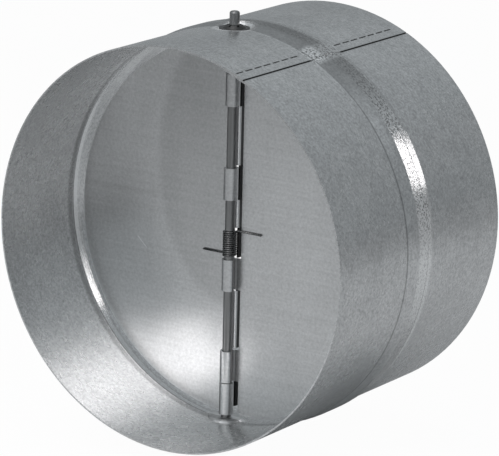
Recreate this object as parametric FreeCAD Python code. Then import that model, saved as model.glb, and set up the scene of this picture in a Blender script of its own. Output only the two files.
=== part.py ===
import FreeCAD, Part
import math
import os

# Backdraft damper for a round duct of 160 mm. A short tube of galvanised sheet holds an
# upright rod, and two half-round blades hang on the rod. A torsion spring holds them closed.
# Air that comes from the rear mouth folds both blades forward, out of the front mouth.
#
# The origin is the centre of the front mouth. Y runs back along the duct, X to the right, Z up.

# Tube
tube_od = 159.2
wall = 0.6
tube_length = 113.4
bead_front = 45.5
bead_ramp = 5.5
bead_crown = 8.6
bead_rise = 0.9
bead_bend = 4.0

# Lap seam of the tube: angle of the outer ply's edge above the X axis
seam_angle = 64.6
seam_overlap = 9.0
seam_joggle = 4.0
seam_line_width = 0.4
seam_line_depth = 0.35
ply_bond = 0.06
joggle_edge = 0.02

# Hinge rod and the flattened seats that it passes through
rod_x = -2.9
rod_y = 47.2
rod_d = 4.0
rod_stickout = 6.9
rod_end_round = 0.9
rod_hole_clearance = 0.08
seat_drop = 0.7
seat_flat_d = 13.4
seat_side = 3.2
seat_slope = 1.1

# Blades
blade_sheet = 0.8
blade_wall_gap = 2.8
blade_drop = 1.3
blade_end_gap = 0.5
left_reach = 2.1
right_setback = 4.1
flange_depth = 3.2
flange_bend = 0.9
edge_notch = 1.1
loop_clearance = 0.08
loop_height = 12.8
loop_spacing = 0.4
middle_loop_z = 12.1
loop_sweep = 240.0
loop_slit = 0.6
notch_clearance = 0.6
notch_side_clearance = 0.5

# Torsion spring
wire_d = 0.8
spring_clearance = 0.05
coil_gap = 0.06
coil_half_turns = 23
coil_seat_gap = 1.1
leg_bend = 1.0
leg_reach = 13.6
leg_blade_gap = 0.05

# Push-on washers
washer_od = 12.0
washer_sheet = 0.4
washer_rim = 1.6
washer_rise = 1.1
washer_hub_d = 5.6
washer_teeth = 6
washer_slot = 0.7

# How far a cutting form reaches past the surface that it cuts
cut_past = 0.2

# Sizes that follow from the ones above
tube_r = tube_od / 2
rod_r = rod_d / 2
seat_z = tube_r - seat_drop
rod_half = seat_z + rod_stickout
blade_r = tube_r - wall - blade_wall_gap
loop_in = rod_r + loop_clearance
loop_out = loop_in + blade_sheet
sheet_y = rod_y + loop_in
coil_r = rod_r + spring_clearance + wire_d / 2
coil_pitch = wire_d + coil_gap
left_edge_x = rod_x + left_reach
right_edge_x = rod_x + right_setback
UP = FreeCAD.Vector(0, 0, 1)
BACK = FreeCAD.Vector(0, 1, 0)
ORIGIN = FreeCAD.Vector(0, 0, 0)
ROD_FOOT = FreeCAD.Vector(rod_x, rod_y, 0)


def rounded_wire(corners):
    """Closed wire through corners (x, y, z, radius), with each radius laid into its corner."""
    count = len(corners)
    points = [FreeCAD.Vector(*corner[:3]) for corner in corners]
    ends = []
    for i, corner in enumerate(corners):
        here = points[i]
        radius = corner[3]
        before = (points[i - 1] - here).normalize()
        after = (points[(i + 1) % count] - here).normalize()
        if radius <= 0:
            ends.append((here, None, here))
            continue
        half = before.getAngle(after) / 2
        reach = radius / math.tan(half)
        centre = here + (before + after).normalize() * (radius / math.sin(half))
        middle = centre + (here - centre).normalize() * radius
        ends.append((here + before * reach, middle, here + after * reach))
    edges = []
    for i in range(count):
        start, middle, end = ends[i]
        if middle is not None:
            edges.append(Part.Arc(start, middle, end).toShape())
        edges.append(Part.makeLine(end, ends[(i + 1) % count][0]))
    return Part.Wire(edges)


def skin_corners(radius):
    """Corners of the wall's surface along the tube, where the flat stretches lie at radius."""
    bead_back = bead_front + 2 * bead_ramp + bead_crown
    return [
        (radius, 0, 0, 0),
        (radius, bead_front, 0, bead_bend),
        (radius + bead_rise, bead_front + bead_ramp, 0, bead_bend),
        (radius + bead_rise, bead_back - bead_ramp, 0, bead_bend),
        (radius, bead_back, 0, bead_bend),
        (radius, tube_length, 0, 0),
    ]


def layer_wire(outer, inner):
    """Section of a layer of sheet that follows the tube's wall from radius inner to outer."""
    return rounded_wire(skin_corners(outer) + skin_corners(inner)[::-1])


def turned(wire, start, sweep):
    """The section turned about the tube's axis, from angle start up towards Z by sweep degrees."""
    solid = Part.Face(wire).revolve(ORIGIN, BACK * -1, sweep)
    solid.rotate(ORIGIN, BACK * -1, start)
    return solid


def degrees_along(length):
    return math.degrees(length / tube_r)


def seam_under_ply():
    """The inner ply of the lap, and the joggle that leads the wall in under the outer ply."""
    ply_top = tube_r - wall + ply_bond
    ply = turned(layer_wire(ply_top, tube_r - 2 * wall), seam_angle, degrees_along(seam_overlap))
    deep = layer_wire(ply_top, tube_r - 2 * wall)
    deep.rotate(ORIGIN, BACK * -1, seam_angle)
    shallow = layer_wire(ply_top, tube_r - wall - joggle_edge)
    shallow.rotate(ORIGIN, BACK * -1, seam_angle - degrees_along(seam_joggle))
    joggle = Part.makeLoft([shallow, deep], True, True)
    return ply.fuse(joggle)


def turned_about_rod(points, flip):
    """Solid turned about the rod's axis from (radius, height) points, mirrored down if flip."""
    corners = [FreeCAD.Vector(r, 0, -z if flip else z) for r, z in points]
    solid = Part.Face(Part.makePolygon(corners + corners[:1])).revolve(ORIGIN, UP, 360)
    solid.translate(ROD_FOOT)
    return solid


def add_seat(tube, envelope, flip):
    """Flatten the wall round one end of the rod, as a dish with a flat floor and a sloping side."""
    flat = seat_flat_d / 2
    side = flat + seat_side
    top = seat_z + seat_side / seat_slope
    above = tube_r + bead_rise + cut_past
    shift = wall * (math.sqrt(1 + seat_slope ** 2) - seat_slope)
    floor = seat_z - wall
    void = turned_about_rod([(0, seat_z), (flat, seat_z), (side, top), (side, above), (0, above)], flip)
    skin = turned_about_rod([
        (0, floor),
        (flat + shift, floor),
        (side + shift, top - wall),
        (side + shift, top),
        (side, top),
        (flat, seat_z),
        (0, seat_z),
    ], flip)
    return tube.cut(void).fuse(skin.common(envelope))


def tube_body():
    """Tube with its lap seam, its bead and a flattened seat at each end of the rod."""
    tube = turned(layer_wire(tube_r, tube_r - wall), 0, 360)
    tube = tube.fuse(seam_under_ply())
    line = layer_wire(tube_r + cut_past, tube_r - seam_line_depth)
    line_sweep = degrees_along(seam_line_width)
    tube = tube.cut(turned(line, seam_angle - line_sweep, line_sweep))
    outline = rounded_wire(skin_corners(tube_r) + [(0, tube_length, 0, 0), (0, 0, 0, 0)])
    envelope = turned(outline, 0, 360)
    for flip in (False, True):
        tube = add_seat(tube, envelope, flip)
    hole_r = rod_r + rod_hole_clearance
    hole = Part.makeCylinder(hole_r, 2 * tube_od, FreeCAD.Vector(rod_x, rod_y, -tube_od), UP)
    return tube.cut(hole).removeSplitter()


def hinge_rod():
    """Plain rod with rounded rims at both ends."""
    section = rounded_wire([
        (0, 0, -rod_half, 0),
        (rod_r, 0, -rod_half, rod_end_round),
        (rod_r, 0, rod_half, rod_end_round),
        (0, 0, rod_half, 0),
    ])
    rod = Part.Face(section).revolve(ORIGIN, UP, 360)
    rod.translate(ROD_FOOT)
    return rod


def loop_ranges():
    """Heights of one blade's loops before it drops: at its foot, above the middle, near its top."""
    foot = -blade_r + blade_end_gap
    top = -(foot + loop_height) - loop_spacing
    starts = (foot, middle_loop_z, top - loop_height)
    return [(start, start + loop_height) for start in starts]


def left_loops():
    return [(low - blade_drop, high - blade_drop) for low, high in loop_ranges()]


def right_loops():
    """The right blade is the left one turned over, so its loops lie at the opposite heights."""
    return [(-high - blade_drop, -low - blade_drop) for low, high in loop_ranges()]


def coil_low():
    """Height of the lowest turn's wire: the coil stands on the right blade's middle loop."""
    below = max(high for low, high in right_loops() if high < 0)
    return below + coil_seat_gap + wire_d / 2


def coil_high():
    return coil_low() + coil_half_turns * coil_pitch / 2


def line(start, end):
    return Part.makeLine(FreeCAD.Vector(*start), FreeCAD.Vector(*end))


def arc(start, middle, end):
    return Part.Arc(FreeCAD.Vector(*start), FreeCAD.Vector(*middle), FreeCAD.Vector(*end)).toShape()


def arc_about(centre, radius, start, end):
    """Arc in a plane of one height about centre (x, y), between two angles in degrees."""
    angles = [math.radians(a) for a in (start, (start + end) / 2, end)]
    points = [(centre[0] + radius * math.cos(a), centre[1] + radius * math.sin(a), 0) for a in angles]
    return arc(*points)


def plate(side):
    """Half disc of sheet behind the rod. side is -1 for the left blade and 1 for the right one."""
    disc = Part.makeCylinder(blade_r, blade_sheet, FreeCAD.Vector(0, sheet_y, -blade_drop), BACK)
    width = 2 * blade_r
    corner_x = right_edge_x if side > 0 else left_edge_x - flange_bend - width
    half = Part.makeBox(width, blade_sheet * 3, 2 * width,
                        FreeCAD.Vector(corner_x, sheet_y - blade_sheet, -width))
    return disc.common(half)


def flange():
    """Lip along the left blade's straight edge, bent back round the bend's outer radius."""
    bend_x = left_edge_x - flange_bend
    inner = left_edge_x - blade_sheet
    tail = sheet_y + flange_depth
    outline = [
        line((bend_x, sheet_y, 0), (bend_x, sheet_y + blade_sheet, 0)),
        arc_about((bend_x, sheet_y + flange_bend), flange_bend - blade_sheet, -90, 0),
        line((inner, sheet_y + flange_bend, 0), (inner, tail, 0)),
        line((inner, tail, 0), (left_edge_x, tail, 0)),
        line((left_edge_x, tail, 0), (left_edge_x, sheet_y + flange_bend, 0)),
        arc_about((bend_x, sheet_y + flange_bend), flange_bend, 0, -90),
    ]
    lip = Part.Face(Part.Wire(outline)).extrude(UP * (2 * blade_r))
    lip.translate(UP * -(blade_r + blade_drop))
    reach = Part.makeCylinder(blade_r, tube_length, FreeCAD.Vector(0, 0, -blade_drop), BACK)
    return lip.common(reach)


def band(low, high, x_low, x_high):
    """Box through the sheet and its flange between two heights and two X places."""
    depth = 2 * blade_sheet + flange_depth
    return Part.makeBox(x_high - x_low, depth, high - low,
                        FreeCAD.Vector(x_low, sheet_y - blade_sheet, low))


def loop(low, high, side):
    """Curl that leaves the sheet behind the rod and turns round it, away from its own blade."""
    section = Part.makePolygon([
        FreeCAD.Vector(0, loop_in, low),
        FreeCAD.Vector(0, loop_out, low),
        FreeCAD.Vector(0, loop_out, high),
        FreeCAD.Vector(0, loop_in, high),
        FreeCAD.Vector(0, loop_in, low),
    ])
    curl = Part.Face(section).revolve(ORIGIN, UP * side, loop_sweep)
    curl.translate(ROD_FOOT)
    return curl


def left_blade():
    """The left sheet reaches past the rod behind it, and its straight edge is bent back.

    The sheet is notched for the other blade's loops and for the coil, and slit beside its own loops.
    """
    blade = plate(-1).fuse(flange())
    notch_x = rod_x - loop_out - notch_side_clearance
    past_x = left_edge_x + cut_past
    for low, high in right_loops() + [(coil_low() - wire_d / 2, coil_high() + wire_d / 2)]:
        blade = blade.cut(band(low - notch_clearance, high + notch_clearance, notch_x, past_x))
    for low, high in left_loops():
        blade = blade.cut(band(low - loop_slit, high + loop_slit, rod_x, past_x))
        blade = blade.fuse(loop(low, high, -1))
    return blade.removeSplitter()


def right_blade():
    """The right sheet ends beside the rod. Only its tabs reach behind the rod to their loops."""
    blade = plate(1)
    root_x = right_edge_x + edge_notch
    for low, high in left_loops():
        past_x = right_edge_x - cut_past
        blade = blade.cut(band(low - notch_clearance, high + notch_clearance, past_x, root_x))
    for low, high in right_loops():
        for edge_z in (low - loop_slit, high):
            blade = blade.cut(band(edge_z, edge_z + loop_slit, right_edge_x - cut_past, root_x))
        size = (root_x - rod_x, blade_sheet, high - low)
        tab = Part.makeBox(*size, FreeCAD.Vector(rod_x, sheet_y, low))
        blade = blade.fuse([tab, loop(low, high, 1)])
    return blade.removeSplitter()


def wire_along(path):
    """Round wire along a path: a cylinder on each line and a piece of ring on each arc."""
    runs = []
    for edge in path:
        start = edge.valueAt(edge.FirstParameter)
        ahead = edge.tangentAt(edge.FirstParameter)
        section = Part.Face(Part.Wire(Part.makeCircle(wire_d / 2, start, ahead)))
        if edge.Curve.TypeId == "Part::GeomLine":
            runs.append(section.extrude(edge.valueAt(edge.LastParameter) - start))
        else:
            sweep = math.degrees(edge.LastParameter - edge.FirstParameter)
            runs.append(section.revolve(edge.Curve.Center, edge.Curve.Axis, sweep))
    return runs[0].fuse(runs[1:])


def torsion_spring():
    """Close-wound coil on the rod, with one leg on the front face of each blade.

    The left leg leaves the coil's low end and the right leg its high end. Each half turn is an arc
    that rises by half a pitch from one side of the rod to the other.
    """
    leg_y = loop_in - wire_d / 2 - leg_blade_gap
    slack = leg_bend * (1 - math.sqrt(0.5))
    knee_x = coil_r + leg_bend
    foot_y = leg_y - leg_bend
    middle = (coil_r + slack, leg_y - slack)
    low = coil_low()
    high = coil_high()
    path = [
        line((-leg_reach, leg_y, low), (-knee_x, leg_y, low)),
        arc((-knee_x, leg_y, low), (-middle[0], middle[1], low), (-coil_r, foot_y, low)),
        line((-coil_r, foot_y, low), (-coil_r, 0, low)),
    ]
    for i in range(coil_half_turns):
        side = -1 if i % 2 == 0 else 1
        start = low + i * coil_pitch / 2
        end = start + coil_pitch / 2
        crest = (0, side * math.hypot(coil_r, coil_pitch / 4), (start + end) / 2)
        path.append(arc((side * coil_r, 0, start), crest, (-side * coil_r, 0, end)))
    path += [
        line((coil_r, 0, high), (coil_r, foot_y, high)),
        arc((coil_r, foot_y, high), (middle[0], middle[1], high), (knee_x, leg_y, high)),
        line((knee_x, leg_y, high), (leg_reach, leg_y, high)),
    ]
    spring = wire_along(path)
    spring.translate(ROD_FOOT)
    return spring


def retaining_washer(flip):
    """Push-on washer: a flat rim, a domed middle and teeth that grip the rod's end."""
    rim_r = washer_od / 2
    dome_r = rim_r - washer_rim
    hub_r = washer_hub_d / 2
    top = seat_z + washer_rise
    section = [
        (rod_r, top),
        (hub_r, top),
        (dome_r, seat_z),
        (rim_r, seat_z),
        (rim_r, seat_z + washer_sheet),
        (dome_r + washer_sheet / 2, seat_z + washer_sheet),
        (hub_r + washer_sheet / 2, top + washer_sheet),
        (rod_r, top + washer_sheet),
    ]
    washer = turned_about_rod(section, flip)
    for i in range(washer_teeth):
        corner = FreeCAD.Vector(0, -washer_slot / 2, -2 * tube_od)
        slot = Part.makeBox(hub_r + washer_slot, washer_slot, 4 * tube_od, corner)
        slot.rotate(ORIGIN, UP, (i + 0.5) * 360 / washer_teeth)
        slot.translate(ROD_FOOT)
        washer = washer.cut(slot)
    return washer


def main():
    os.makedirs("parts", exist_ok=True)
    pieces = {
        "tube_body": tube_body(),
        "left_blade": left_blade(),
        "right_blade": right_blade(),
        "hinge_rod": hinge_rod(),
        "torsion_spring": torsion_spring(),
        "upper_retaining_washer": retaining_washer(False),
        "lower_retaining_washer": retaining_washer(True),
    }
    for name, shape in pieces.items():
        shape.exportStep("parts/" + name + ".step")


main()
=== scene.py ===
import math
from types import SimpleNamespace

import bmesh
import bpy
from mathutils import Matrix, Vector


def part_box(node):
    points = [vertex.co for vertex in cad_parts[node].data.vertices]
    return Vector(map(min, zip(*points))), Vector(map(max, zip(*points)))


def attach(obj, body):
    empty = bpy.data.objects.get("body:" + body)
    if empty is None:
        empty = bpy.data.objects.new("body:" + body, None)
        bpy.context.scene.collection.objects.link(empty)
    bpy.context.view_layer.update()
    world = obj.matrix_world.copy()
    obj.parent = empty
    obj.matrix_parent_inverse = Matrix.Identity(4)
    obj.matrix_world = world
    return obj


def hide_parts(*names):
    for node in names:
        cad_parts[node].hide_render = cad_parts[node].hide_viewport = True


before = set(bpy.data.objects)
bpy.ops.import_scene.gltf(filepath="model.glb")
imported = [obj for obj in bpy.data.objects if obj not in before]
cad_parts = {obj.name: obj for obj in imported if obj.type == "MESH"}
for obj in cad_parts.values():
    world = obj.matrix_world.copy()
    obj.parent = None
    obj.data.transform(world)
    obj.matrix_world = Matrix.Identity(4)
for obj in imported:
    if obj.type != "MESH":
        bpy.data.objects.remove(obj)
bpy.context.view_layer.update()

# Lengths are in metres and angles in degrees. Y runs back along the duct from the front mouth.

# Camera: where the photograph was taken from
CAMERA_PLACE = (0.73978, -1.03096, 0.34963)
CAMERA_AZIMUTH = 34.2271
CAMERA_ELEVATION = 14.9807
CAMERA_ROLL = 1.3517
CAMERA_LENS = 249.5
SENSOR_WIDTH = 36.0

# The rod's axis
ROD_X = -0.0029
ROD_Y = 0.0472

# Floor under the rod's end. FLOOR_WHITE is the share of it that is plain white to the camera.
FLOOR_GAP = 0.0002
FLOOR_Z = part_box("hinge_rod")[0].z - FLOOR_GAP
FLOOR_HALF = 6.0
FLOOR_WHITE = 0.97

# The floor's greys by place in Y, and the stretch of Y that they are given over
FLOOR_SPAN = (-0.6, 0.6)
FLOOR_GREYS = (
    (-0.60, 0.40),
    (-0.28, 0.40),
    (-0.19, 0.72),
    (0.00, 0.70),
    (0.10, 0.56),
    (0.36, 0.54),
    (0.46, 0.40),
)

# Greys of the studio's air by height, from straight down to straight up, and its tint
AIR_GREYS = (
    (-1.00, 0.42),
    (-0.05, 0.35),
    (0.00, 0.33),
    (0.36, 0.36),
    (0.56, 0.48),
    (1.00, 0.56),
)
AIR_TINT = (0.94, 1.0, 1.035)

# The air's strength in front of and behind the damper, and the directions that it changes between
AIR_STRENGTH = (1.9, 1.0)
AIR_SPAN = (-0.4, 0.3)

# Lamps: name, place, target, width and height, and power in watts
LAMPS = (
    ("key", (0.03, -1.5, 1.23), (0, 0.03, 0), (0.95, 0.8), 9.8),
    ("rim", (0.34, 1.50, 0.19), (0, 0.05, 0), (0.10, 0.34), 0.42),
    ("top", (-0.3, 0.1, 1.6), (0, 0.05, 0), (0.8, 0.8), 5.5),
)
LAMP_TINT = (1.0, 0.965, 0.965)

# Tube: its radius, the radii between which its outer skin begins, and the bead round it
TUBE_RADIUS = 0.0796
SKIN_RADII = (0.07912, 0.07922)
BEAD_FEET = (0.0455, 0.0651)
BEAD_RAMP = 0.0055
BEAD_RISE = 0.0009

# How the bead's crown and rear ramp seem to fall towards the rear: where along Y, and how far
CROWN_SLOPE = (0.0535, 0.0600)
CROWN_FALL = 0.0012
RAMP_SLOPE = (0.0600, 0.0650)
RAMP_FALL = 0.0002

# Bands of the tube's wall: middle in Y, half width and soft edge. The crown and inner flank bands
# carry painted highlights, and the top, groove and inner foot and edge bands carry painted shade.
BEAD_BAND = (0.0553, 0.0095, 0.0010)
CROWN_BAND = (0.0585, 0.0040, 0.0014)
TOP_BAND = (0.0542, 0.0080, 0.0006)
GROOVE_BAND = (0.0463, 0.0002, 0.0003)
INNER_FOOT_BAND = (0.0437, 0.0008, 0.0013)
INNER_EDGE_BAND = (0.0457, 0.00012, 0.0002)
INNER_FLANK_BAND = (0.0476, 0.0014, 0.0003)

# Round the tube, above the X axis: middle, half width and soft edge of the seam's edge and of the
# lumpy patch where the seam crosses the bead
SEAM_EDGE = (64.45, 0.216, 0.216)
SEAM_PATCH = (66.0, 2.58, 1.72)

# Round the tube: where the painted shade on the bead's top grows, the painted highlight on its
# crown fades and its pits deepen
TOP_FADE = (40.1, 57.3)
CROWN_FADE = (35.0, 55.0)
PIT_FADE = (2.0, 12.0)

# Distances from the rod's axis between which its dull, flattened seat ends
SEAT_REACH = (0.0085, 0.0095)

# Zinc: its dull and bright greys, and how far the spangle, the grain and the clouds sway it
ZINC_GREYS = (0.40, 0.76)
SPANGLE_SWAY = 0.08
GRAIN_SWAY = 0.42
CLOUD_SWAY = 0.12

# The zinc's roughness, and what the seat adds to it and the bead takes off
ZINC_ROUGHNESS = (0.25, 0.28)
SEAT_ROUGHNESS = 0.22
BEAD_POLISH = 0.07

# Where the bead was worked: the speckle's range, how it sways the zinc, and how its pits darken
SPECK_RANGE = (0.36, 0.64)
SPECK_SWAY = (-0.8, 1.3)
PIT_RANGE = (0.40, 0.50)
PIT_SHADE = (0.75, 0.0)
PIT_STRENGTH = (0.25, 1.0)

# How bright or dark each mark on the tube is, as a share of white or of the dark grey of painted
# shade and pits. The crown and flank shines are painted highlights, and the foot, edge, groove and
# top shades are painted shade.
CROWN_SHINE = (0.45, 0.10)
PATCH_SHINE = 0.3
FLANK_SHINE = 0.5
FOOT_SHADE = 0.45
INNER_EDGE_SHADE = 0.8
GROOVE_SHADE = 0.5
TOP_SHADE = 0.5
PAINTED_SHADE_AND_PIT_GREY = 0.10
SEAM_GREY = 0.06

# Stitches beside the seam, which stop at the bead, coloured dark as painted shade in their dents
STITCH_ANGLE = 67.6
STITCH_PITCH = 0.0060
STITCH_LENGTH = 0.0046
STITCH_WIDTH = 0.0007
STITCH_DEPTH = 0.0003
STITCH_PROUD = 0.00008
SEAM_LUMP = (0.044, 0.068)

# Blade sheet: its dull and bright greys, and its roughness
SHEET_GREYS = (0.40, 0.72)
SHEET_ROUGHNESS = (0.28, 0.38)

# Darker oval on the left blade: middle and half sizes along X and Z, its soft edge as shares of
# those sizes, and its end in X at the rod
DARK_OVAL_PLACE = (-0.001, 0.024)
DARK_OVAL_SIZE = (0.039, 0.060)
DARK_OVAL_EDGE = (0.93, 1.02)
DARK_OVAL_END = (ROD_X, ROD_X + 0.002)
DARK_OVAL_STRENGTH = 0.20
DARK_OVAL_GREY = 0.12

# Scratch on the left blade: its slope, then middle, half width and soft edge across it and in X
SCRATCH_SLOPE = 0.92
SCRATCH_ACROSS = (-0.0575, 0.00012, 0.0001)
SCRATCH_X = (-0.0469, 0.002, 0.0004)
SCRATCH_SHINE = 0.7

# The sheet bent back behind the rod, darkened by painted shade, and the bright bend, a painted
# highlight: where they begin in Y, then middle, half width and soft edge in X
BEHIND_Y = (0.0501, 0.0505)
BEHIND_X = (-0.0012, 0.0008, 0.0002)
BEHIND_GREY = 0.09
BEND_Y = (0.0491, 0.0492)
BEND_X = (-0.0013, 0.0006, 0.0002)
BEND_ROUGHNESS = 0.2

# Strips of the left blade's lip at its loops, the coil and one slit: heights, and sizes in X and Y
LOOP_SPANS = (
    (0.0472, 0.0622),
    (0.0096, 0.0248),
    (-0.0133, 0.0),
    (-0.0745, -0.0632),
    (-0.0276, -0.0263),
)
LIP_X = (-0.00155, -0.00085)
LIP_Y = (0.0502, 0.0523)

# Strip along the right blade's edge, which closes its notches
EDGE_SPAN = (-0.0760, 0.0735)
EDGE_X = (0.00122, 0.00240)
EDGE_Y = (0.04930, 0.05006)

# Torsion spring: wire, coil and legs. LEG_PLACE is how far behind the rod's axis the legs lie.
WIRE_RADIUS = 0.0004
WIRE_SIDES = 14
COIL_RADIUS = 0.00245
COIL_HALF_TURNS = 23
HALF_TURN_STEPS = 12
LEG_PLACE = 0.00163
LEG_BEND = 0.0010
LEG_BEND_STEPS = 6


class Nodes:
    """A node tree of a material or world, with short calls for the nodes that it is built from."""

    def __init__(self, owner, shader, output):
        owner.use_nodes = True
        self.owner = owner
        self.tree = owner.node_tree
        self.shader = self.tree.nodes[shader]
        self.output = self.tree.nodes[output]
        coordinates = self.tree.nodes.new("ShaderNodeTexCoord")
        self.place = coordinates.outputs["Object"]
        self.direction = coordinates.outputs["Generated"]

    def feed(self, socket, value):
        if isinstance(value, bpy.types.NodeSocket):
            self.tree.links.new(value, socket)
        else:
            socket.default_value = value

    def add(self, kind, **inputs):
        node = self.tree.nodes.new(kind)
        for name, value in inputs.items():
            self.feed(node.inputs[name.replace("_", " ")], value)
        return node

    def look(self, name, value):
        """Feed one input of the main shader."""
        self.feed(self.shader.inputs[name], value)

    def axes(self, vector):
        split = self.add("ShaderNodeSeparateXYZ", Vector=vector)
        return tuple(split.outputs)

    def stretched(self, scale):
        """The object's own coordinates, scaled per axis."""
        return self.add("ShaderNodeMapping", Vector=self.place, Scale=scale).outputs["Vector"]

    def noise(self, vector, scale, detail, roughness):
        node = self.add("ShaderNodeTexNoise", Vector=vector, Scale=scale, Detail=detail,
                        Roughness=roughness)
        return node.outputs["Fac"]

    def cells(self, vector, scale):
        """One random value for each cell of a crystal pattern."""
        node = self.add("ShaderNodeTexVoronoi", Vector=vector, Scale=scale)
        return self.add("ShaderNodeSeparateColor", Color=node.outputs["Color"]).outputs["Red"]

    def ramp(self, value, stops, hue=(1, 1, 1)):
        """value turned into a tinted grey by stops, each a place from 0 to 1 and a grey."""
        node = self.add("ShaderNodeValToRGB", Fac=value)
        band = node.color_ramp
        for place, grey in stops[1:-1]:
            band.elements.new(place)
        for element, (place, grey) in zip(band.elements, stops):
            element.position = place
            element.color = (grey * hue[0], grey * hue[1], grey * hue[2], 1)
        return node.outputs["Color"]

    def spread(self, value, low, high, from_low=0.0, from_high=1.0):
        """value's stretch from from_low to from_high, turned into low to high."""
        node = self.add("ShaderNodeMapRange", From_Min=from_low, From_Max=from_high,
                        To_Min=low, To_Max=high)
        self.feed(node.inputs["Value"], value)
        return node.outputs["Result"]

    def sway(self, noise, amount):
        """A noise's usual range, turned into minus amount to amount."""
        return self.spread(noise, -amount, amount, 0.3, 0.7)

    def math(self, operation, first, *others):
        """One operation on a value, or on several values from left to right."""
        for other in others or (0.0,):
            node = self.tree.nodes.new("ShaderNodeMath")
            node.operation = operation
            self.feed(node.inputs[0], first)
            self.feed(node.inputs[1], other)
            first = node.outputs["Value"]
        return first

    def plus(self, *values):
        return self.math("ADD", *values)

    def less(self, first, second):
        return self.math("SUBTRACT", first, second)

    def times(self, *values):
        return self.math("MULTIPLY", *values)

    def most(self, *values):
        return self.math("MAXIMUM", *values)

    def reach(self, first, second):
        """Distance from the origin of two coordinates."""
        return self.math("SQRT", self.plus(self.times(first, first), self.times(second, second)))

    def near(self, value, middle, half, soft):
        """1 where value is within half of middle, falling to 0 over soft."""
        away = self.math("ABSOLUTE", self.less(value, middle))
        return self.spread(away, 1.0, 0.0, half, half + soft)

    def mix(self, share, first, second):
        node = self.tree.nodes.new("ShaderNodeMix")
        node.data_type = "RGBA"
        colours = [socket for socket in node.inputs if socket.type == "RGBA"]
        self.feed(node.inputs["Factor"], share)
        self.feed(colours[0], first)
        self.feed(colours[1], second)
        return next(socket for socket in node.outputs if socket.type == "RGBA")

    def bump(self, height, strength, distance, under=None):
        node = self.add("ShaderNodeBump", Height=height, Strength=strength, Distance=distance)
        if under is not None:
            self.feed(node.inputs["Normal"], under)
        return node.outputs["Normal"]

    def white_to_camera(self, share, white):
        """Show white instead of the main shader, by a share of what the camera sees."""
        rays = self.add("ShaderNodeLightPath")
        mix = self.add("ShaderNodeMixShader")
        self.feed(mix.inputs[0], self.times(rays.outputs["Is Camera Ray"], share))
        self.feed(mix.inputs[1], self.shader.outputs[0])
        self.feed(mix.inputs[2], white.outputs[0])
        self.feed(self.output.inputs["Surface"], mix.outputs[0])


def surface(name):
    return Nodes(bpy.data.materials.new(name), "Principled BSDF", "Material Output")


def tint(grey, blue=0.0):
    """A grey as a colour, a little cooler by blue."""
    return (grey * (1 - blue / 3), grey, grey * (1 + blue / 6), 1)


BRIGHT = tint(1.0)


def make_camera():
    azimuth = math.radians(CAMERA_AZIMUTH)
    elevation = math.radians(CAMERA_ELEVATION)
    back = Vector((math.sin(azimuth) * math.cos(elevation),
                   -math.cos(azimuth) * math.cos(elevation),
                   math.sin(elevation)))
    right = Vector((math.cos(azimuth), math.sin(azimuth), 0))
    turn = Matrix((right, back.cross(right), back)).transposed()
    turn = turn @ Matrix.Rotation(math.radians(CAMERA_ROLL), 3, "Z")
    data = bpy.data.cameras.new("camera")
    data.lens = CAMERA_LENS
    data.sensor_width = SENSOR_WIDTH
    data.clip_end = 100
    camera = bpy.data.objects.new("camera", data)
    camera.matrix_world = Matrix.Translation(CAMERA_PLACE) @ turn.to_4x4()
    bpy.context.scene.collection.objects.link(camera)
    bpy.context.scene.camera = camera


def make_stage():
    """White floor, which keeps a faint shadow of the damper."""
    n = surface("floor")
    y = n.axes(n.place)[1]
    low, high = FLOOR_SPAN
    stops = [((place - low) / (high - low), grey) for place, grey in FLOOR_GREYS]
    n.look("Base Color", n.ramp(n.spread(y, 0.0, 1.0, low, high), stops))
    n.look("Roughness", 0.9)
    n.look("Specular IOR Level", 0.1)
    n.white_to_camera(FLOOR_WHITE, n.add("ShaderNodeEmission", Color=(1, 1, 1, 1)))
    sheet = bpy.data.meshes.new("floor")
    corners = [(i * FLOOR_HALF, j * FLOOR_HALF, 0) for i, j in ((-1, -1), (1, -1), (1, 1), (-1, 1))]
    sheet.from_pydata(corners, [], [(0, 1, 2, 3)])
    sheet.materials.append(n.owner)
    floor = bpy.data.objects.new("floor", sheet)
    floor.location = (0, 0, FLOOR_Z)
    bpy.context.scene.collection.objects.link(floor)


def make_world():
    """Grey studio air, brighter in front of the damper, which the camera sees as white."""
    world = bpy.data.worlds.new("studio")
    bpy.context.scene.world = world
    n = Nodes(world, "Background", "World Output")
    y, z = n.axes(n.direction)[1:]
    stops = [((height + 1) / 2, grey) for height, grey in AIR_GREYS]
    n.look("Color", n.ramp(n.spread(z, 0.0, 1.0, -1.0, 1.0), stops, AIR_TINT))
    n.look("Strength", n.spread(y, *AIR_STRENGTH, *AIR_SPAN))
    n.white_to_camera(1.0, n.add("ShaderNodeBackground", Color=(1, 1, 1, 1)))


def lamp(name, place, target, size, power):
    data = bpy.data.lights.new(name, "AREA")
    data.shape = "RECTANGLE"
    data.size, data.size_y = size
    data.energy = power
    data.color = LAMP_TINT
    light = bpy.data.objects.new(name, data)
    light.location = place
    light.rotation_euler = (Vector(target) - Vector(place)).to_track_quat("-Z", "Y").to_euler()
    bpy.context.scene.collection.objects.link(light)


def outer_skin(n, y, radius):
    """1 on the tube's outer skin, also where the bead lifts the wall, and 0 inside it."""
    front, back = BEAD_FEET
    up = n.spread(y, 0.0, BEAD_RISE, front, front + BEAD_RAMP)
    down = n.spread(y, 0.0, -BEAD_RISE, back - BEAD_RAMP, back)
    return n.spread(n.less(radius, n.plus(up, down)), 0.0, 1.0, *SKIN_RADII)


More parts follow.
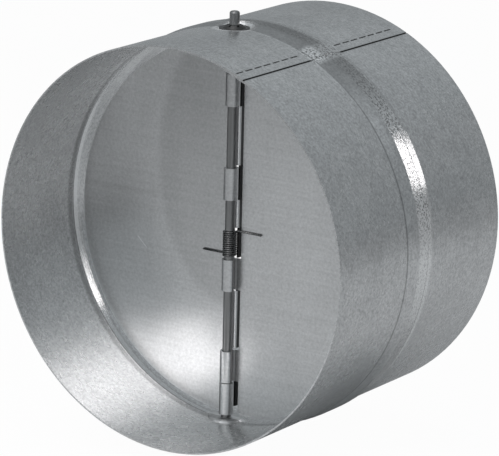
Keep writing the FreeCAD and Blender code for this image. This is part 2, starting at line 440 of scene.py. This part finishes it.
def wall_marks_and_painted_light(n):
    """The places on the tube that look different, each 1 in its place and 0 elsewhere: real marks
    such as the seam and the worked speckle, and the bands round the bead where highlights and shade
    are painted.
    """
    x, y, z = n.axes(n.place)
    angle = n.math("DEGREES", n.math("ARCTAN2", z, x))
    outside = outer_skin(n, y, n.reach(x, z))
    inside = n.less(1.0, outside)
    marks = SimpleNamespace(y=y, outside=outside)
    marks.bead = n.near(y, *BEAD_BAND)
    marks.patch = n.times(n.near(angle, *SEAM_PATCH), marks.bead, outside)
    marks.seam = n.times(n.near(angle, *SEAM_EDGE), outside, n.less(1.0, marks.patch))
    marks.seat = n.spread(n.reach(n.less(x, ROD_X), n.less(y, ROD_Y)), 1.0, 0.0, *SEAT_REACH)
    # The foot, edge, groove and top bands carry painted shade, and the flank band and the crown's
    # shine carry painted highlights
    marks.foot = n.times(n.near(y, *INNER_FOOT_BAND), inside)
    marks.edge = n.times(n.near(y, *INNER_EDGE_BAND), inside)
    marks.flank = n.times(n.near(y, *INNER_FLANK_BAND), inside)
    marks.groove = n.times(n.near(y, *GROOVE_BAND), outside)
    marks.crown = n.times(n.near(y, *CROWN_BAND), outside)
    marks.worked = n.most(marks.crown, marks.patch)
    marks.shine = n.times(marks.crown, n.spread(angle, *CROWN_SHINE, *CROWN_FADE))
    marks.pitted = n.times(marks.worked, n.spread(angle, *PIT_STRENGTH, *PIT_FADE))
    top = n.times(n.near(y, *TOP_BAND), n.spread(angle, 0.0, TOP_SHADE, *TOP_FADE))
    marks.top = n.times(top, n.less(outside, marks.patch))
    return marks


def zinc_colour(n, marks, spangle, grain, cloud):
    """The zinc's grey, with the bead's speckle and pits, the lighter patch and the seam's dark edge,
    painted highlights on the crown and inner flank, and painted shade at the bead's feet, groove and
    top.
    """
    dull, bright = ZINC_GREYS
    speck = n.noise(n.place, 1250, detail=2, roughness=0.6)
    tone = n.plus(n.spread(spangle, -SPANGLE_SWAY, SPANGLE_SWAY), n.sway(grain, GRAIN_SWAY))
    worked = n.times(marks.worked, n.spread(speck, *SPECK_SWAY, *SPECK_RANGE))
    # The inner flank's lift is a painted highlight
    share = n.plus(tone, n.sway(cloud, CLOUD_SWAY), 0.5, worked, n.times(marks.flank, FLANK_SHINE))
    colour = n.mix(share, tint(dull, 0.03), tint(bright, 0.02))
    # Painted highlight on the crown, fading higher round the tube
    colour = n.mix(marks.shine, colour, BRIGHT)
    colour = n.mix(n.times(marks.patch, PATCH_SHINE), colour, BRIGHT)
    pits = n.times(n.spread(speck, *PIT_SHADE, *PIT_RANGE), marks.pitted)
    # Painted shade at the bead's inner foot and edge, its groove and its top, together with the
    # darker pits
    inner = n.most(n.times(marks.foot, FOOT_SHADE), n.times(marks.edge, INNER_EDGE_SHADE))
    shade = n.most(inner, n.times(marks.groove, GROOVE_SHADE), pits, marks.top)
    colour = n.mix(shade, colour, tint(PAINTED_SHADE_AND_PIT_GREY, 0.02))
    return n.mix(marks.seam, colour, tint(SEAM_GREY))


def galvanised():
    """Zinc-coated sheet: fine grain, soft reflections, a burnished bead with painted highlights and
    painted shade, and the seam's dark edge.
    """
    n = surface("galvanised_sheet")
    marks = wall_marks_and_painted_light(n)
    spangle = n.cells(n.place, 420)
    grain = n.noise(n.place, 900, detail=3, roughness=0.75)
    cloud = n.noise(n.place, 26, detail=5, roughness=0.6)
    dent = n.noise(n.place, 60, detail=2, roughness=0.5)
    n.look("Base Color", zinc_colour(n, marks, spangle, grain, cloud))
    rough = n.plus(n.spread(spangle, *ZINC_ROUGHNESS), n.sway(cloud, 0.02))
    rough = n.plus(rough, n.times(marks.seat, SEAT_ROUGHNESS))
    n.look("Roughness", n.less(rough, n.times(marks.bead, BEAD_POLISH)))
    n.look("Metallic", 1.0)
    slope = n.plus(n.spread(marks.y, 0.0, -CROWN_FALL, *CROWN_SLOPE),
                   n.spread(marks.y, 0.0, -RAMP_FALL, *RAMP_SLOPE))
    rolled = n.bump(n.times(slope, marks.outside), strength=1.0, distance=1.0)
    dented = n.bump(dent, strength=0.10, distance=0.0005, under=rolled)
    n.look("Normal", n.bump(grain, strength=0.12, distance=0.0002, under=dented))
    return n.owner


def darker_oval(n, x, z):
    """A darker oval on the blade that ends at the rod."""
    wide = n.math("DIVIDE", n.less(x, DARK_OVAL_PLACE[0]), DARK_OVAL_SIZE[0])
    tall = n.math("DIVIDE", n.less(z, DARK_OVAL_PLACE[1]), DARK_OVAL_SIZE[1])
    oval = n.spread(n.reach(wide, tall), 1.0, 0.0, *DARK_OVAL_EDGE)
    return n.times(oval, n.spread(x, DARK_OVAL_STRENGTH, 0.0, *DARK_OVAL_END))


def blade_metal():
    """Mill-finish aluminium sheet with faint rolling lines and light handling marks, painted shade
    on the sheet bent back behind the rod and a painted highlight on its bend.
    """
    n = surface("blade_sheet")
    x, y, z = n.axes(n.place)
    lines = n.noise(n.stretched((8, 60, 700)), 1.0, detail=5, roughness=0.6)
    fine = n.noise(n.place, 850, detail=4, roughness=0.7)
    cloud = n.noise(n.place, 20, detail=3, roughness=0.5)
    smear = n.noise(n.stretched((50, 1, 12)), 1.0, detail=3, roughness=0.6)
    tone = n.plus(n.sway(lines, 0.10), n.sway(fine, 0.24), n.sway(cloud, 0.07))
    share = n.plus(tone, n.sway(smear, 0.08), 0.5)
    across = n.plus(z, n.times(x, SCRATCH_SLOPE))
    scratch = n.times(n.near(across, *SCRATCH_ACROSS), n.near(x, *SCRATCH_X))
    # Painted shade on the sheet bent back behind the rod, and a painted highlight on its bend
    behind = n.times(n.spread(y, 0.0, 1.0, *BEHIND_Y), n.near(x, *BEHIND_X))
    bend = n.times(n.spread(y, 0.0, 1.0, *BEND_Y), n.near(x, *BEND_X))
    dull, bright = SHEET_GREYS
    colour = n.mix(share, tint(dull, 0.015), tint(bright, 0.015))
    colour = n.mix(darker_oval(n, x, z), colour, tint(DARK_OVAL_GREY, 0.02))
    colour = n.mix(n.times(scratch, SCRATCH_SHINE), colour, BRIGHT)
    colour = n.mix(bend, colour, BRIGHT)
    rough = n.plus(n.spread(cloud, *SHEET_ROUGHNESS), n.times(bend, BEND_ROUGHNESS))
    n.look("Base Color", n.mix(behind, colour, tint(BEHIND_GREY)))
    n.look("Roughness", rough)
    n.look("Metallic", 1.0)
    n.look("Normal", n.bump(lines, strength=0.08, distance=0.0002))
    return n.owner


def drawn_steel():
    """Plain drawn rod: darker steel with lines along its length."""
    n = surface("rod_steel")
    lines = n.noise(n.stretched((1500, 1500, 30)), 1.0, detail=4, roughness=0.6)
    cloud = n.noise(n.place, 90, detail=3, roughness=0.5)
    share = n.plus(n.sway(lines, 0.2), n.sway(cloud, 0.1), 0.5)
    n.look("Base Color", n.mix(share, tint(0.14), tint(0.30)))
    n.look("Roughness", n.spread(cloud, 0.24, 0.36))
    n.look("Metallic", 1.0)
    return n.owner


def speckled_metal(name, speckle, dark, light, smooth, rough, metallic=1.0):
    """Metal with a fine speckle between two colours, and between two roughnesses."""
    n = surface(name)
    fine = n.noise(n.place, speckle, detail=3, roughness=0.5)
    n.look("Base Color", n.mix(fine, dark, light))
    n.look("Roughness", n.spread(fine, smooth, rough))
    n.look("Metallic", metallic)
    return n.owner


def shaded_sheet():
    """The blade's sheet where it is bent back behind the rod, out of the light."""
    return speckled_metal("shaded_sheet", 900, tint(0.02), tint(0.06), smooth=0.6, rough=0.6)


def spring_wire():
    """Dark spring wire, smooth and a little shiny."""
    return speckled_metal("spring_wire", 900, tint(0.05), tint(0.2), smooth=0.2, rough=0.35)


def black_steel():
    """Blackened spring steel of the push-on washers."""
    return speckled_metal("washer_steel", 1100, tint(0.012), tint(0.05), smooth=0.3, rough=0.45,
                          metallic=0.6)


def stitch_painted_shade():
    """Painted shade: dark, dull metal in the stitches that close the seam, standing in for the shade
    in their pressed dents.
    """
    dark = tint(0.04, 0.02)
    light = tint(0.12, 0.02)
    return speckled_metal("seam_stitch_painted_shade", 1500, dark, light, smooth=0.5, rough=0.5)


def paint(node, material):
    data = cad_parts[node].data
    data.materials.clear()
    data.materials.append(material)


def linked(name, mesh, material):
    """An object of a mesh that was built here."""
    data = bpy.data.meshes.new(name)
    mesh.to_mesh(data)
    mesh.free()
    data.materials.append(material)
    piece = bpy.data.objects.new(name, data)
    bpy.context.scene.collection.objects.link(piece)
    return piece


def strips(name, spans, across, deep, body, material):
    """Upright strips of sheet, one for each span of heights, as a piece that moves with body."""
    mesh = bmesh.new()
    for low, high in spans:
        size = Matrix.Diagonal((across[1] - across[0], deep[1] - deep[0], high - low, 1))
        middle = (sum(across) / 2, sum(deep) / 2, (low + high) / 2)
        bmesh.ops.create_cube(mesh, size=1, matrix=Matrix.Translation(middle) @ size)
    piece = linked(name, mesh, material)
    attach(piece, body)


def wire_rings(points):
    """A ring of points round each point of a wire's middle line, without twist."""
    rings = []
    turns = [2 * math.pi * k / WIRE_SIDES for k in range(WIRE_SIDES)]
    side = Vector((0, 0, 1))
    for i, point in enumerate(points):
        ahead = (points[min(i + 1, len(points) - 1)] - points[max(i - 1, 0)]).normalized()
        side = (side - ahead * side.dot(ahead)).normalized()
        up = ahead.cross(side)
        rings.append([point + WIRE_RADIUS * (math.cos(t) * side + math.sin(t) * up) for t in turns])
    return rings


def wire(name, points, body, material):
    """Round wire along points, as a piece of the spring that moves with body."""
    mesh = bmesh.new()
    rings = [[mesh.verts.new(place) for place in ring] for ring in wire_rings(points)]
    for first, second in zip(rings, rings[1:]):
        for k in range(WIRE_SIDES):
            follow = (k + 1) % WIRE_SIDES
            face = mesh.faces.new((first[k], first[follow], second[follow], second[k]))
            face.smooth = True
    mesh.faces.new(rings[0][::-1])
    mesh.faces.new(rings[-1])
    bmesh.ops.recalc_face_normals(mesh, faces=mesh.faces)
    piece = linked(name, mesh, material)
    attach(piece, body)
    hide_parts("torsion_spring")


def coil_points(bottom, top):
    """The coil's middle line, from its bottom at the left leg to its top at the right leg."""
    points = []
    steps = COIL_HALF_TURNS * HALF_TURN_STEPS
    for i in range(steps + 1):
        turn = math.pi * (1 + COIL_HALF_TURNS * i / steps)
        x = ROD_X + COIL_RADIUS * math.cos(turn)
        y = ROD_Y + COIL_RADIUS * math.sin(turn)
        points.append(Vector((x, y, bottom + (top - bottom) * i / steps)))
    return points


def leg_points(side, height, reach):
    """Leg from the coil's side out along the blade's front. side is -1 for the left leg."""
    foot = LEG_PLACE - LEG_BEND
    points = [Vector((side * COIL_RADIUS, y, height)) for y in (0, foot / 2)]
    for i in range(LEG_BEND_STEPS + 1):
        turn = math.pi / 2 * i / LEG_BEND_STEPS
        x = COIL_RADIUS + LEG_BEND * (1 - math.cos(turn))
        points.append(Vector((side * x, foot + LEG_BEND * math.sin(turn), height)))
    points.append(Vector((side * reach, LEG_PLACE, height)))
    return [point + Vector((ROD_X, ROD_Y, 0)) for point in points]


def make_spring(material):
    """The coil on the rod, and a leg on each blade that follows it."""
    low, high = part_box("torsion_spring")
    bottom = low.z + WIRE_RADIUS
    top = high.z - WIRE_RADIUS
    reach = (high.x - low.x) / 2
    wire("spring_coil", coil_points(bottom, top), "duct_tube", material)
    wire("spring_left_leg", leg_points(-1, bottom, reach), "left_flap", material)
    wire("spring_right_leg", leg_points(1, top, reach), "right_flap", material)


def wall_rise(y):
    """How far the bead lifts the wall's skin at a place along the tube."""
    front, back = BEAD_FEET
    up = min(max((y - front) / BEAD_RAMP, 0), 1)
    down = min(max((back - y) / BEAD_RAMP, 0), 1)
    return BEAD_RISE * min(up, down)


def add_stitch(mesh, middle):
    """One short bar that follows the wall, with its middle at a place along the tube."""
    for v in bmesh.ops.create_cube(mesh, size=1)["verts"]:
        y = middle + v.co.y * STITCH_LENGTH
        angle = math.radians(STITCH_ANGLE) + v.co.x * STITCH_WIDTH / TUBE_RADIUS
        sunk = (0.5 - v.co.z) * STITCH_DEPTH
        radius = TUBE_RADIUS + STITCH_PROUD + wall_rise(y) - sunk
        v.co = (radius * math.cos(angle), y, radius * math.sin(angle))


def seam_stitches(material):
    """Row of small pressed stitches beside the seam's edge, one short bar each."""
    low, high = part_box("tube_body")
    mesh = bmesh.new()
    for i in range(int((high.y - low.y) / STITCH_PITCH)):
        middle = low.y + (i + 0.5) * STITCH_PITCH
        if not SEAM_LUMP[0] < middle < SEAM_LUMP[1]:
            add_stitch(mesh, middle)
    stitches = linked("seam_stitches", mesh, material)
    bevel = stitches.modifiers.new("bevel", "BEVEL")
    bevel.width = STITCH_DEPTH / 2
    bevel.segments = 2
    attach(stitches, "duct_tube")


make_camera()
make_stage()
make_world()
for row in LAMPS:
    lamp(*row)

zinc = galvanised()
sheet_metal = blade_metal()
black = black_steel()
paint("tube_body", zinc)
paint("left_blade", sheet_metal)
paint("right_blade", sheet_metal)
paint("hinge_rod", drawn_steel())
make_spring(spring_wire())
paint("upper_retaining_washer", black)
paint("lower_retaining_washer", black)
seam_stitches(stitch_painted_shade())
strips("left_lip_at_loops", LOOP_SPANS, LIP_X, LIP_Y, "left_flap", shaded_sheet())
strips("right_edge_at_loops", [EDGE_SPAN], EDGE_X, EDGE_Y, "right_flap", sheet_metal)

bpy.context.scene.view_settings.view_transform = "Standard"
